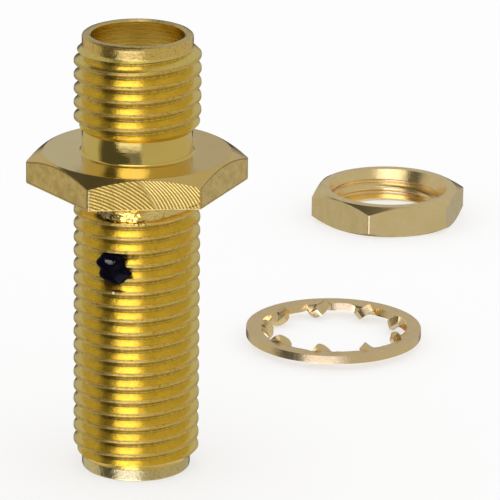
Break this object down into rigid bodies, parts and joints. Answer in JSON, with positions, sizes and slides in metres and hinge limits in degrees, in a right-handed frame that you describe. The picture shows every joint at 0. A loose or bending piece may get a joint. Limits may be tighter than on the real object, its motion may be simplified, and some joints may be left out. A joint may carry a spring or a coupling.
{
  "type": "sma bulkhead adapter",
  "caption": "Gold-plated coaxial bulkhead adapter, threaded jack to threaded jack through a hexagonal flange, with its thin panel nut and toothed lock washer lying beside it.",
  "frame": {"origin": "on the adapter's axis, in the hexagon's face that seats on the panel", "axes": "+Z along the axis towards the short jack, -Y square to the hexagon's front flat, +X to the right seen from the front"},
  "size_m": [0.0274, 0.0478, 0.0224],
  "materials": {
    "plated_body": "bright gold plating over turned brass",
    "white_plastic": "smooth white fluoroplastic",
    "plated_contact": "bright gold plating",
    "black_epoxy": "glossy black cured epoxy",
    "plated_nut": "satin gold plating",
    "plated_washer": "satin gold plating on spring metal"
  },
  "bodies": {
    "root": {"adapter_body": "plated_body", "insulator": "white_plastic", "center_contact": "plated_contact", "epoxy_plug": "black_epoxy", "hex_nut": "plated_nut", "lock_washer": "plated_washer"}
  },
  "joints": []
}
